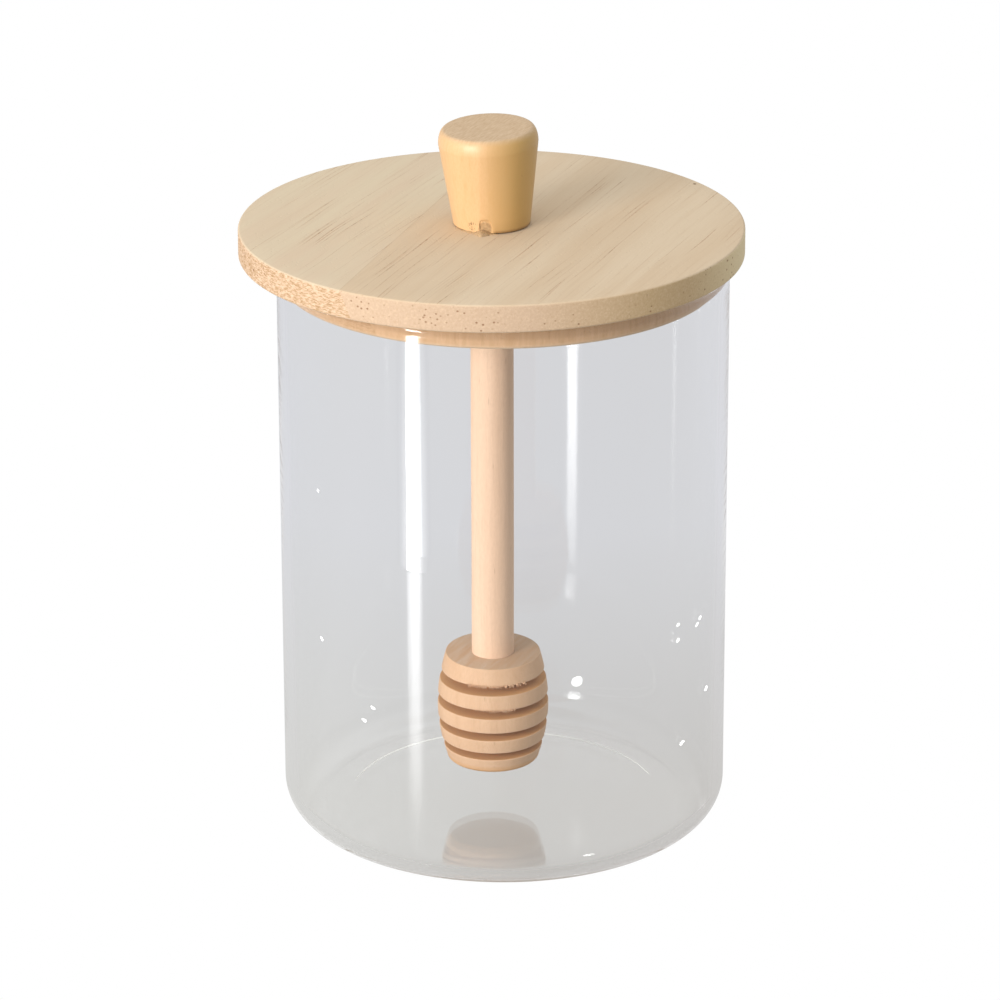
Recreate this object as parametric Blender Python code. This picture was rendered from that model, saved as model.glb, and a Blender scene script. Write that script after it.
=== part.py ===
"""A clear glass honey jar with a wooden lid. A turned knob is glued on the lid, and a grooved wooden
dipper hangs from the lid's underside on a dowel, inside the empty jar.

Metres, +Z up. The origin is the point on the table under the lid's centre."""

from math import cos, pi, radians, sin

import bmesh
import bpy
from mathutils import Matrix, Vector

# The room left between two pieces that touch.
GAP = 0.0003

# Glass jar: a straight tube with a rounded heel, a flat foot ring under a faintly raised base and a
# fire-polished rim. The base and heel are evenly thick, and the wall thins from there up to the rim.
JAR_HEIGHT = 0.1326
JAR_OUTER_RADIUS = 0.0500
JAR_WALL = 0.0018
JAR_BASE = 0.0025
JAR_HEEL_OUTSIDE = 0.0085
JAR_FOOT_WIDTH = 0.0025
JAR_BASE_RISE = 0.0001
JAR_BASE_SLOPE = 0.0100
RIM_BEAD_HEIGHT = 0.0040
RIM_BEAD_BULGE = 0.0003
# The jar stands a little to one side of the lid's centre.
JAR_OFFSET = 0.0025

# Lid: a board disc with a thinner plug under it that sits in the jar's mouth, a little off centre.
LID_RADIUS = 0.05575
LID_THICKNESS = 0.0062
LID_EDGE_ROUND = 0.0009
PLUG_RADIUS = 0.0474
PLUG_DEPTH = 0.0063
PLUG_EDGE_ROUND = 0.0008
PLUG_OFFSET = 0.0020
LID_SOCKET_DEPTH = 0.0040

# Knob: a turned cone, wider at the top, with a soft shoulder. It was glued on leaning a little.
KNOB_HEIGHT = 0.0218
KNOB_BASE_RADIUS = 0.0085
KNOB_WIDEST_RADIUS = 0.0110
KNOB_WIDEST_HEIGHT = 0.0185
KNOB_FLAT_RADIUS = 0.0095
KNOB_LEAN_LEFT = radians(2.35)
KNOB_LEAN_FORWARD = radians(1.5)
KNOB_OFFSET = (0.0001, 0.0009)
KNOB_BELOW_CUT = 0.0015

# Dipper: a dowel, and a barrel-shaped head with grooves turned down to a thin core.
ROD_RADIUS = 0.0048
ROD_EDGE_ROUND = 0.0004
HEAD_BOTTOM = 0.01195
HEAD_BANDS = (0.00355, 0.00330, 0.00350, 0.00345, 0.00375)
HEAD_GROOVES = (0.00185, 0.00190, 0.00205, 0.00210)
HEAD_BELLY_RADIUS = 0.0126
HEAD_BELLY_HEIGHT = 0.0136
HEAD_TOP_RADIUS = 0.0107
HEAD_CORE_RADIUS = 0.0070
HEAD_BAND_EDGE = 0.0002
HEAD_BOTTOM_ROUND = 0.0012
HEAD_SOCKET_DEPTH = 0.0050

# Flat sides round a full turn of each piece.
JAR_SIDES = 72
LID_SIDES = 72
KNOB_SIDES = 40
ROD_SIDES = 24
HEAD_SIDES = 40

LID_UNDERSIDE = JAR_HEIGHT + GAP
HEAD_HEIGHT = sum(HEAD_BANDS) + sum(HEAD_GROOVES)


def clear_scene():
    """Removes the objects of the startup scene."""
    for thing in list(bpy.data.objects):
        bpy.data.objects.remove(thing)


def arc(centre_radius, centre_height, bend, start, end, steps):
    """Points (radius, height) along a round corner, from angle start to angle end in degrees."""
    points = []
    for step in range(steps + 1):
        angle = radians(start + (end - start) * step / steps)
        points.append((centre_radius + bend * cos(angle), centre_height + bend * sin(angle)))
    return points


def shifted(points, centre):
    """The same outline points as rings whose centre is moved along X."""
    return [(radius, height, centre) for radius, height in points]


def turned(rings, sides):
    """A closed solid from a stack of rings (radius, height, centre x). A ring of radius 0 is a point."""
    shape = bmesh.new()
    loops = []
    for radius, height, centre in rings:
        if radius == 0:
            loops.append([shape.verts.new((centre, 0, height))])
            continue
        loop = []
        for side in range(sides):
            angle = 2 * pi * side / sides
            loop.append(shape.verts.new((centre + radius * cos(angle), radius * sin(angle), height)))
        loops.append(loop)
    for upper, lower in zip(loops, loops[1:]):
        for side in range(sides):
            after = (side + 1) % sides
            corners = [upper[side % len(upper)], upper[after % len(upper)]]
            corners += [lower[after % len(lower)], lower[side % len(lower)]]
            shape.faces.new(dict.fromkeys(corners))
    bmesh.ops.recalc_face_normals(shape, faces=shape.faces)
    return shape


def material(name, colour, roughness, transmission=0.0, ior=1.5):
    """A plain material with the piece's own colour and gloss."""
    made = bpy.data.materials.new(name)
    made.use_nodes = True
    shader = made.node_tree.nodes["Principled BSDF"]
    shader.inputs["Base Color"].default_value = (*colour, 1.0)
    shader.inputs["Roughness"].default_value = roughness
    shader.inputs["Metallic"].default_value = 0.0
    shader.inputs["Transmission Weight"].default_value = transmission
    shader.inputs["IOR"].default_value = ior
    return made


def piece(name, shape, finish, place, holder):
    """Makes the named object from a finished shape, smooth with sharp edges kept, and puts it in place."""
    mesh = bpy.data.meshes.new(name)
    shape.to_mesh(mesh)
    shape.free()
    mesh.materials.append(finish)
    mesh.shade_smooth()
    mesh.set_sharp_from_angle(angle=radians(35))
    made = bpy.data.objects.new(name, mesh)
    made.location = place
    made.parent = holder
    bpy.context.scene.collection.objects.link(made)
    return made


def holder(name, place):
    """An empty that pieces hang from."""
    made = bpy.data.objects.new(name, None)
    made.location = place
    bpy.context.scene.collection.objects.link(made)
    return made


def jar_rings():
    """Up the inside from the middle of the floor, over the rim, down the outside and back under the base."""
    inner_radius = JAR_OUTER_RADIUS - JAR_WALL
    foot_outside = JAR_OUTER_RADIUS - JAR_HEEL_OUTSIDE
    foot_inside = foot_outside - JAR_FOOT_WIDTH
    raised = foot_inside - JAR_BASE_SLOPE
    outline = [(0, JAR_BASE + JAR_BASE_RISE), (raised, JAR_BASE + JAR_BASE_RISE), (foot_inside, JAR_BASE)]
    outline += arc(foot_outside, JAR_HEEL_OUTSIDE, JAR_HEEL_OUTSIDE - JAR_BASE, -90, 0, 6)
    lip = (JAR_WALL + RIM_BEAD_BULGE) / 2
    lip_height = JAR_HEIGHT - lip
    outline += arc(inner_radius + lip, lip_height, lip, 180, 0, 6)
    bead_foot = JAR_HEIGHT - RIM_BEAD_HEIGHT
    steps = 4
    for step in range(1, steps + 1):
        ease = (1 + cos(pi * step / steps)) / 2
        height = lip_height + (bead_foot - lip_height) * step / steps
        outline.append((JAR_OUTER_RADIUS + RIM_BEAD_BULGE * ease, height))
    outline += arc(foot_outside, JAR_HEEL_OUTSIDE, JAR_HEEL_OUTSIDE, 0, -90, 7)
    outline += [(foot_inside, 0), (raised, JAR_BASE_RISE), (0, JAR_BASE_RISE)]
    return shifted(outline, 0)


def lid_rings():
    """Down from the middle of the top, round the disc's edge, in to the plug, down it and up the socket."""
    disc = [(0, LID_THICKNESS)]
    edge = LID_RADIUS - LID_EDGE_ROUND
    disc += arc(edge, LID_THICKNESS - LID_EDGE_ROUND, LID_EDGE_ROUND, 90, 0, 3)
    disc += arc(edge, LID_EDGE_ROUND, LID_EDGE_ROUND, 0, -90, 3)
    plug = [(PLUG_RADIUS, 0)]
    plug_edge = PLUG_RADIUS - PLUG_EDGE_ROUND
    plug += arc(plug_edge, PLUG_EDGE_ROUND - PLUG_DEPTH, PLUG_EDGE_ROUND, 0, -90, 3)
    socket_radius = ROD_RADIUS + GAP
    socket_top = LID_SOCKET_DEPTH - PLUG_DEPTH
    socket = [(socket_radius, -PLUG_DEPTH), (socket_radius, socket_top), (0, socket_top)]
    return shifted(disc, 0) + shifted(plug, PLUG_OFFSET) + shifted(socket, 0)


def knob_shape():
    """The turned cone, tilted as it was glued, with its base cut level with the lid."""
    shoulder_out = KNOB_WIDEST_RADIUS - KNOB_FLAT_RADIUS
    shoulder_up = KNOB_HEIGHT - KNOB_WIDEST_HEIGHT
    outline = [(0, KNOB_HEIGHT)]
    steps = 7
    for step in range(steps + 1):
        angle = pi / 2 * (1 - step / steps)
        radius = KNOB_FLAT_RADIUS + shoulder_out * cos(angle)
        outline.append((radius, KNOB_WIDEST_HEIGHT + shoulder_up * sin(angle)))
    taper = (KNOB_WIDEST_RADIUS - KNOB_BASE_RADIUS) / KNOB_WIDEST_HEIGHT
    foot_radius = KNOB_BASE_RADIUS - taper * KNOB_BELOW_CUT
    outline += [(foot_radius, -KNOB_BELOW_CUT), (0, -KNOB_BELOW_CUT)]
    shape = turned(shifted(outline, 0), KNOB_SIDES)
    lean = Matrix.Rotation(-KNOB_LEAN_LEFT, 3, "Y") @ Matrix.Rotation(KNOB_LEAN_FORWARD, 3, "X")
    bmesh.ops.rotate(shape, verts=shape.verts, matrix=lean)
    everything = shape.verts[:] + shape.edges[:] + shape.faces[:]
    level, up = Vector((0, 0, 0)), Vector((0, 0, 1))
    cut = bmesh.ops.bisect_plane(shape, geom=everything, plane_co=level, plane_no=up, clear_inner=True)
    rim = [edge for edge in cut["geom_cut"] if isinstance(edge, bmesh.types.BMEdge)]
    bmesh.ops.contextual_create(shape, geom=rim)
    bmesh.ops.recalc_face_normals(shape, faces=shape.faces)
    return shape


def rod_rings(length):
    """The dowel, from the top down, with its two ends eased."""
    edge = ROD_RADIUS - ROD_EDGE_ROUND
    outline = [(0, length)]
    outline += arc(edge, length - ROD_EDGE_ROUND, ROD_EDGE_ROUND, 90, 0, 2)
    outline += arc(edge, ROD_EDGE_ROUND, ROD_EDGE_ROUND, 0, -90, 2)
    outline.append((0, 0))
    return shifted(outline, 0)


def barrel_radius(height):
    """The radius of the head's barrel at a height above its bottom."""
    fall = (HEAD_BELLY_RADIUS - HEAD_TOP_RADIUS) / (HEAD_HEIGHT - HEAD_BELLY_HEIGHT) ** 2
    return HEAD_BELLY_RADIUS - fall * (height - HEAD_BELLY_HEIGHT) ** 2


def head_rings():
    """Up round the bottom, in and out of each groove, then down the socket for the dowel."""
    edge = barrel_radius(HEAD_BOTTOM_ROUND) - HEAD_BOTTOM_ROUND
    outline = [(0, 0)]
    outline += arc(edge, HEAD_BOTTOM_ROUND, HEAD_BOTTOM_ROUND, -90, 0, 3)
    height = 0
    for number, band in enumerate(HEAD_BANDS):
        if number > 0:
            outline.append((barrel_radius(height) - HEAD_BAND_EDGE, height))
            outline.append((barrel_radius(height + HEAD_BAND_EDGE), height + HEAD_BAND_EDGE))
            outline.append((barrel_radius(height + band / 2), height + band / 2))
        height += band
        outline.append((barrel_radius(height - HEAD_BAND_EDGE), height - HEAD_BAND_EDGE))
        outline.append((barrel_radius(height) - HEAD_BAND_EDGE, height))
        if number < len(HEAD_GROOVES):
            outline.append((HEAD_CORE_RADIUS, height))
            height += HEAD_GROOVES[number]
            outline.append((HEAD_CORE_RADIUS, height))
    socket_radius = ROD_RADIUS + GAP
    socket_floor = HEAD_HEIGHT - HEAD_SOCKET_DEPTH
    outline += [(socket_radius, HEAD_HEIGHT), (socket_radius, socket_floor), (0, socket_floor)]
    return shifted(outline, 0)


def build():
    """Makes the jar, and the lid with all that lifts out with it."""
    clear_scene()
    glass = material("clear_glass", (0.90, 0.92, 0.92), 0.02, transmission=1.0, ior=1.47)
    board = material("lid_board", (0.66, 0.54, 0.37), 0.60)
    waxed = material("knob_wood", (0.72, 0.50, 0.26), 0.42)
    dowel = material("dowel_wood", (0.76, 0.56, 0.38), 0.58)
    barrel = material("head_wood", (0.74, 0.54, 0.34), 0.62)

    piece("glass_jar", turned(jar_rings(), JAR_SIDES), glass, (JAR_OFFSET, 0, 0), None)

    lifted = holder("lid_and_dipper", (0, 0, LID_UNDERSIDE))
    piece("lid", turned(lid_rings(), LID_SIDES), board, (0, 0, 0), lifted)
    knob_place = (*KNOB_OFFSET, LID_THICKNESS + GAP)
    piece("knob", knob_shape(), waxed, knob_place, lifted)

    head_place = HEAD_BOTTOM - LID_UNDERSIDE
    rod_bottom = head_place + HEAD_HEIGHT - HEAD_SOCKET_DEPTH + GAP
    rod_top = LID_SOCKET_DEPTH - PLUG_DEPTH - GAP
    rod_shape = turned(rod_rings(rod_top - rod_bottom), ROD_SIDES)
    piece("dipper_rod", rod_shape, dowel, (0, 0, rod_bottom), lifted)
    piece("dipper_head", turned(head_rings(), HEAD_SIDES), barrel, (0, 0, head_place), lifted)


build()
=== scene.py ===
from math import cos, exp, pi, radians, sin
from random import Random

import bmesh
import bpy
from mathutils import Matrix, Vector, noise


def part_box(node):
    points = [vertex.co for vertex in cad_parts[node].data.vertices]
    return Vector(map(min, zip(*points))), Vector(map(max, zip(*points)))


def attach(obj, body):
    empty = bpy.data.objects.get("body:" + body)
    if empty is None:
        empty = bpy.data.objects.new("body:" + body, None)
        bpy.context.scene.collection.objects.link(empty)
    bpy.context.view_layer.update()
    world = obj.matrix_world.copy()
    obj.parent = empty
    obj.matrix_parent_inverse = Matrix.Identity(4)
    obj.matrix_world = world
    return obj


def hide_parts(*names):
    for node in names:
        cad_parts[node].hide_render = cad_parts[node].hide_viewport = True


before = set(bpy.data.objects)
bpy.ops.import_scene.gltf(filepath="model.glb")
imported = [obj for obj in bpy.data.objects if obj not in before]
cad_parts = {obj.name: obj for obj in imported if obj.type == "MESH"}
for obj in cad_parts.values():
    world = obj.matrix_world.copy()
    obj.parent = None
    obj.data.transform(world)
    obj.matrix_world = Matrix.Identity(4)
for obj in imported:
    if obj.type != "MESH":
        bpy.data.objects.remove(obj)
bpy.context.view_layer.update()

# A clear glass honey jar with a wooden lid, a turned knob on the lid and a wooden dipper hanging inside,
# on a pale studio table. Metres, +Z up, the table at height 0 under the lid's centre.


# Camera: a long lens about a metre off, looking down over the lid into the jar.
# It is held a little off level, as it was in the hand.
CAMERA_AIM = Vector((0.0017, 0.0, 0.0741))
CAMERA_DISTANCE = 1.151
CAMERA_PITCH = radians(20.97)
CAMERA_ROLL = radians(-0.144)
CAMERA_LENS = 184.7
CAMERA_SENSOR = 36.0
CAMERA_REACH = 30.0

camera_data = bpy.data.cameras.new("camera")
camera_data.lens = CAMERA_LENS
camera_data.sensor_width = CAMERA_SENSOR
camera_data.clip_end = CAMERA_REACH
camera = bpy.data.objects.new("camera", camera_data)
camera.location = CAMERA_AIM + CAMERA_DISTANCE * Vector((0, -cos(CAMERA_PITCH), sin(CAMERA_PITCH)))
level_aim = Matrix.Rotation(pi / 2 - CAMERA_PITCH, 3, "X")
camera.rotation_euler = (level_aim @ Matrix.Rotation(CAMERA_ROLL, 3, "Z")).to_euler()
bpy.context.scene.collection.objects.link(camera)
bpy.context.scene.camera = camera


# Table: a white sweep of board that burns out to pure white round the jar.
# Through the glass its grey shows, so that grey is a second sheet which only the glass sees, with painted
# shade near the jar and to the right.
TABLE_SPAN = 6.0
# The greys are painted shade and light: darker near the jar and to the right, lighter to the left and far
# back.
GREY_NEAR_SHADE = (0.545, 0.530, 0.512, 1)
GREY_NEAR_LEFT = (0.660, 0.655, 0.635, 1)
GREY_FAR = (0.665, 0.672, 0.715, 1)
GREY_FAR_LEFT = (0.715, 0.725, 0.770, 1)
GREY_DEPTH = (0.0, 0.17)
GREY_WIDTH = (-0.045, 0.012)
GREY_GLOSS_ROUGHNESS = 0.15
GREY_SHINE_IOR = 1.6
GREY_HEIGHT = -0.0002
WHITE_HEIGHT = -0.0004
WHITE = (1, 1, 1, 1)


def put(tree, kind, feeds=None, **settings):
    """Adds a node, sets its options, and feeds its inputs with values or with other nodes' sockets."""
    node = tree.nodes.new(kind)
    for name, value in settings.items():
        setattr(node, name, value)
    for socket, value in (feeds or {}).items():
        if isinstance(value, bpy.types.NodeSocket):
            tree.links.new(value, node.inputs[socket])
        else:
            node.inputs[socket].default_value = value
    return node


def reckoned(tree, operation, *values):
    """The result of one sum on numbers or sockets."""
    return put(tree, "ShaderNodeMath", dict(enumerate(values)), operation=operation).outputs[0]


def spread(tree, value, low, high, to_low=0.0, to_high=1.0):
    """A value stretched from low and high to new ends, and held there."""
    ends = {"Value": value, "From Min": low, "From Max": high, "To Min": to_low, "To Max": to_high}
    return put(tree, "ShaderNodeMapRange", ends).outputs[0]


def blended(tree, share, first, second):
    """Two colours mixed, with the second in the given share."""
    return put(tree, "ShaderNodeMix", {0: share, 6: first, 7: second}, data_type="RGBA").outputs[2]


def bare_finish(name):
    """A new material with no nodes in it yet, and its node tree."""
    made = bpy.data.materials.new(name)
    made.use_nodes = True
    made.node_tree.nodes.clear()
    return made, made.node_tree


def glow(name, strength=1.0):
    """A new material that gives off white light."""
    made, tree = bare_finish(name)
    lamp = put(tree, "ShaderNodeEmission", {"Color": WHITE, "Strength": strength})
    put(tree, "ShaderNodeOutputMaterial", {"Surface": lamp.outputs[0]})
    return made


def studio_piece(name, faces, finish, *seen_by):
    """A piece of the studio made of flat faces, each a list of points, seen only by the named rays."""
    shape = bmesh.new()
    for points in faces:
        shape.faces.new([shape.verts.new(point) for point in points])
    mesh = bpy.data.meshes.new(name)
    shape.to_mesh(mesh)
    shape.free()
    mesh.materials.append(finish)
    made = bpy.data.objects.new(name, mesh)
    bpy.context.scene.collection.objects.link(made)
    for rays in ("camera", "diffuse", "glossy", "transmission", "shadow", "volume_scatter"):
        setattr(made, f"visible_{rays}", rays in seen_by)
    return made


def shaded_grey_sweep():
    """The table's grey with painted shade, darker near the jar and to the right, with a dull shine."""
    made, tree = bare_finish("shaded_grey_sweep")
    spot = put(tree, "ShaderNodeSeparateXYZ", {0: put(tree, "ShaderNodeTexCoord").outputs["Object"]})
    rightward = spread(tree, spot.outputs["X"], *GREY_WIDTH)
    near_shaded_tone = blended(tree, rightward, GREY_NEAR_LEFT, GREY_NEAR_SHADE)
    far_tone = blended(tree, rightward, GREY_FAR_LEFT, GREY_FAR)
    tone = blended(tree, spread(tree, spot.outputs["Y"], *GREY_DEPTH), near_shaded_tone, far_tone)
    lit = put(tree, "ShaderNodeEmission", {"Color": tone})
    gloss = put(tree, "ShaderNodeBsdfGlossy", {"Color": WHITE, "Roughness": GREY_GLOSS_ROUGHNESS})
    shine = put(tree, "ShaderNodeFresnel", {"IOR": GREY_SHINE_IOR}).outputs[0]
    polished = put(tree, "ShaderNodeMixShader", {0: shine, 1: lit.outputs[0], 2: gloss.outputs[0]})
    put(tree, "ShaderNodeOutputMaterial", {"Surface": polished.outputs[0]})
    return made


table_half = TABLE_SPAN / 2
table_corners = [(x * table_half, y * table_half, 0) for x, y in ((-1, -1), (1, -1), (1, 1), (-1, 1))]
white_table = studio_piece("table_white", [table_corners], glow("white_sweep"), "camera")
white_table.location.z = WHITE_HEIGHT
grey_table = studio_piece("table_grey", [table_corners], shaded_grey_sweep(), "glossy", "transmission")
grey_table.location.z = GREY_HEIGHT


# Light: an even white room, a warm key lamp low on the left in front, and a narrow strip of light
# standing on the table at the left, which only the glass mirrors.
ROOM_BELOW = (0.50, 0.47, 0.43, 1)
ROOM_LEVEL = (0.46, 0.44, 0.42, 1)
ROOM_ABOVE = (0.92, 0.92, 0.92, 1)
ROOM_RIGHT_SHADE = 0.66
ROOM_BACK_GLOW = 0.55
LIGHT_BOUNCES = 512
KEY_AIM = Vector((0, 0, 0.08))
KEY_AZIMUTH = radians(-42)
KEY_ELEVATION = radians(15)
KEY_DISTANCE = 1.2
KEY_SIZE = 0.55
KEY_POWER = 13.5
KEY_COLOUR = (1.0, 0.92, 0.86)
STRIP_PLACE = Vector((-0.155, -0.1735, 0))
STRIP_CORE = 0.0250
STRIP_WIDTH = 0.0620
STRIP_HEIGHT = 0.0720
STRIP_FADES = ((0.0, 0.030, 0.8), (0.030, 0.062, 0.45), (0.062, STRIP_HEIGHT, 0.0))
STRIP_STRENGTH = 38.0
STRIP_HALO = 0.11

scene = bpy.context.scene
scene.view_settings.view_transform = "Standard"
scene.cycles.max_bounces = LIGHT_BOUNCES
scene.cycles.glossy_bounces = LIGHT_BOUNCES
scene.cycles.transmission_bounces = LIGHT_BOUNCES
world = bpy.data.worlds.new("studio")
scene.world = world
world.use_nodes = True
tree = world.node_tree
tree.nodes.clear()
heading = put(tree, "ShaderNodeSeparateXYZ", {0: put(tree, "ShaderNodeTexCoord").outputs["Generated"]})
low_room = blended(tree, spread(tree, heading.outputs["Z"], -0.3, 0.0), ROOM_BELOW, ROOM_LEVEL)
room = blended(tree, spread(tree, heading.outputs["Z"], 0.0, 0.8), low_room, ROOM_ABOVE)
shade = spread(tree, heading.outputs["X"], 0.0, 0.9, 1.0, ROOM_RIGHT_SHADE)
high = spread(tree, heading.outputs["Z"], 0.0, 0.6)
back_right = reckoned(tree, "ADD", heading.outputs["X"], heading.outputs["Y"])
back_glow = spread(tree, back_right, 0.60, 1.30, 0.0, ROOM_BACK_GLOW)
room_strength = reckoned(tree, "ADD", reckoned(tree, "MAXIMUM", shade, high), back_glow)
room_light = put(tree, "ShaderNodeBackground", {"Color": room, "Strength": room_strength})
white_out = put(tree, "ShaderNodeBackground", {"Color": WHITE})
seen = put(tree, "ShaderNodeLightPath").outputs["Is Camera Ray"]
either = put(tree, "ShaderNodeMixShader", {0: seen, 1: room_light.outputs[0], 2: white_out.outputs[0]})
put(tree, "ShaderNodeOutputWorld", {"Surface": either.outputs[0]})

key_data = bpy.data.lights.new("key", "AREA")
key_data.shape = "DISK"
key_data.size = KEY_SIZE
key_data.energy = KEY_POWER
key_data.color = KEY_COLOUR
key = bpy.data.objects.new("key", key_data)
key_level = cos(KEY_ELEVATION)
key_way = Vector((sin(KEY_AZIMUTH) * key_level, -cos(KEY_AZIMUTH) * key_level, sin(KEY_ELEVATION)))
key.location = KEY_AIM + key_way * KEY_DISTANCE
key.rotation_euler = (-key_way).to_track_quat("-Z", "Y").to_euler()
scene.collection.objects.link(key)
key.visible_transmission = False
wooden = bpy.data.collections.new("wooden")
key.light_linking.receiver_collection = wooden


def strip_glow():
    """White light in a core with a faint halo, weaker towards the strip's top."""
    made = glow("strip_glow")
    tree = made.node_tree
    spot = put(tree, "ShaderNodeSeparateXYZ", {0: put(tree, "ShaderNodeTexCoord").outputs["Object"]})
    off_middle = reckoned(tree, "ABSOLUTE", spot.outputs["X"])
    core = spread(tree, off_middle, STRIP_CORE * 0.42, STRIP_CORE * 0.53, 1.0, 0.0)
    halo = spread(tree, off_middle, STRIP_CORE / 2, STRIP_WIDTH / 2, STRIP_HALO, 0.0)
    power = reckoned(tree, "MULTIPLY", reckoned(tree, "ADD", core, halo), STRIP_STRENGTH)
    for start, end, left in STRIP_FADES:
        power = reckoned(tree, "MULTIPLY", power, spread(tree, spot.outputs["Z"], start, end, 1.0, left))
    tree.links.new(power, tree.nodes["Emission"].inputs["Strength"])
    return made


strip_half = STRIP_WIDTH / 2
strip_corners = [(x * strip_half, 0, z * STRIP_HEIGHT) for x, z in ((-1, 0), (1, 0), (1, 1), (-1, 1))]
strip = studio_piece("strip_light", [strip_corners], strip_glow(), "glossy", "transmission")
strip.location = STRIP_PLACE
strip.rotation_euler = (-STRIP_PLACE).to_track_quat("Y", "Z").to_euler()


# Glass jar: one piece of clear borosilicate, blown in a mould, so its wall is very faintly wavy.
# Base and heel are evenly thick, the wall thins up to the fire-polished rim, and the base is a
# little raised inside its foot ring.
JAR_WALL = 0.0018
JAR_BASE = 0.0025
JAR_HEEL_OUTSIDE = 0.0085
JAR_FOOT_WIDTH = 0.0025
JAR_BASE_RISE = 0.0001
JAR_BASE_SLOPE = 0.0100
RIM_BEAD_HEIGHT = 0.0038
RIM_BEAD_WIDEST = 0.0021
RIM_BEAD_BULGE = 0.0003
GLASS_WAVE = 0.000010
GLASS_WAVE_SPAN = 0.016
GLASS_SIDES = 256

jar_low, jar_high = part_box("glass_jar")
JAR_HEIGHT = jar_high.z
JAR_CENTRE = (jar_low.x + jar_high.x) / 2
JAR_RADIUS = (jar_high.x - jar_low.x) / 2 - RIM_BEAD_BULGE


def arc(centre_radius, centre_height, bend, start, end, steps):
    """Points (radius, height) along a round corner, from angle start to angle end in degrees."""
    points = []
    for step in range(steps + 1):
        angle = radians(start + (end - start) * step / steps)
        points.append((centre_radius + bend * cos(angle), centre_height + bend * sin(angle)))
    return points


def straight(start, end, steps):
    """Points between two corners of an outline, without the corners themselves."""
    (radius, height), (to_radius, to_height) = start, end
    points = []
    for step in range(1, steps):
        share = step / steps
        points.append((radius + (to_radius - radius) * share, height + (to_height - height) * share))
    return points


def turned(name, outline, sides, finish, carve=None, level=None):
    """A closed piece turned from outline points (radius, height, centre x).

    Carve may move each point, and level cuts off what lies below that height.
    """
    shape = bmesh.new()
    loops = []
    for radius, height, *centre in outline:
        centre_x = centre[0] if centre else 0
        count = 1 if radius == 0 else sides
        loop = []
        for side in range(count):
            angle = 2 * pi * side / sides
            point = Vector((centre_x + radius * cos(angle), radius * sin(angle), height))
            loop.append(shape.verts.new(carve(point, angle) if carve else point))
        loops.append(loop)
    for upper, lower in zip(loops, loops[1:]):
        for side in range(sides):
            after = (side + 1) % sides
            corners = [upper[side % len(upper)], upper[after % len(upper)]]
            corners += [lower[after % len(lower)], lower[side % len(lower)]]
            shape.faces.new(dict.fromkeys(corners))
    if level is not None:
        everything = shape.verts[:] + shape.edges[:] + shape.faces[:]
        cut = bmesh.ops.bisect_plane(
            shape, geom=everything, plane_co=(0, 0, level), plane_no=(0, 0, 1), clear_inner=True
        )
        rim = [edge for edge in cut["geom_cut"] if isinstance(edge, bmesh.types.BMEdge)]
        bmesh.ops.contextual_create(shape, geom=rim)
    bmesh.ops.recalc_face_normals(shape, faces=shape.faces)
    return finished(name, shape, finish)


def finished(name, shape, finish):
    """The named piece from its shape, smooth with its sharp edges kept, riding with the jar."""
    mesh = bpy.data.meshes.new(name)
    shape.to_mesh(mesh)
    shape.free()
    mesh.materials.append(finish)
    mesh.shade_smooth()
    mesh.set_sharp_from_angle(angle=radians(35))
    made = bpy.data.objects.new(name, mesh)
    bpy.context.scene.collection.objects.link(made)
    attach(made, "root")
    return made


def jar_outline():
    """Up the inside from the floor's middle, over the rim, down the outside and back under the base."""
    inner = JAR_RADIUS - JAR_WALL
    heel = JAR_RADIUS - JAR_HEEL_OUTSIDE
    foot_inside = heel - JAR_FOOT_WIDTH
    rise_steps = 16
    underside = []
    for step in range(rise_steps + 1):
        ease = (1 - cos(pi * step / rise_steps)) / 2
        underside.append((foot_inside - JAR_BASE_SLOPE * step / rise_steps, JAR_BASE_RISE * ease))
    floor = [(radius, height + JAR_BASE) for radius, height in reversed(underside)]
    points = [(0, JAR_BASE + JAR_BASE_RISE), *straight((0, floor[0][1]), floor[0], 6), *floor]
    points += arc(heel, JAR_HEEL_OUTSIDE, JAR_HEEL_OUTSIDE - JAR_BASE, -90, 0, 24)
    lip = (JAR_WALL + RIM_BEAD_BULGE) / 2
    lip_height = JAR_HEIGHT - lip
    points += straight(points[-1], (inner, lip_height), 40)
    points += arc(inner + lip, lip_height, lip, 180, 90, 10)
    widest = JAR_HEIGHT - RIM_BEAD_WIDEST
    bead_steps = 14
    for step in range(1, bead_steps + 1):
        turn = pi / 2 * (1 - step / bead_steps)
        points.append((inner + lip + lip * cos(turn), widest + RIM_BEAD_WIDEST * sin(turn)))
    bead_foot = JAR_HEIGHT - RIM_BEAD_HEIGHT
    for step in range(1, bead_steps + 1):
        ease = (1 + cos(pi * step / bead_steps)) / 2
        height = widest + (bead_foot - widest) * step / bead_steps
        points.append((JAR_RADIUS + RIM_BEAD_BULGE * ease, height))
    points += straight(points[-1], (JAR_RADIUS, JAR_HEEL_OUTSIDE), 40)
    points += arc(heel, JAR_HEEL_OUTSIDE, JAR_HEEL_OUTSIDE, 0, -90, 24)
    points += [*underside, (0, JAR_BASE_RISE)]
    return [(radius, height, 0) for radius, height in points]


def waved(point, angle):
    """Moves a point of the glass in or out by the mould's faint waviness."""
    inside = (point.xy.length - JAR_RADIUS + JAR_WALL / 2) < 0
    seed = Vector((3.1, 0, 0)) if inside else Vector((0, 7.7, 0))
    swell = noise.noise(point / GLASS_WAVE_SPAN + seed) * GLASS_WAVE
    out = Vector((point.x, point.y, 0))
    if out.length > 0:
        out.normalize()
    return point + out * swell + Vector((JAR_CENTRE, 0, 0))


def new_finish(name):
    """A new material, with its node tree and its shader."""
    made = bpy.data.materials.new(name)
    made.use_nodes = True
    return made, made.node_tree, made.node_tree.nodes["Principled BSDF"]


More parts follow.
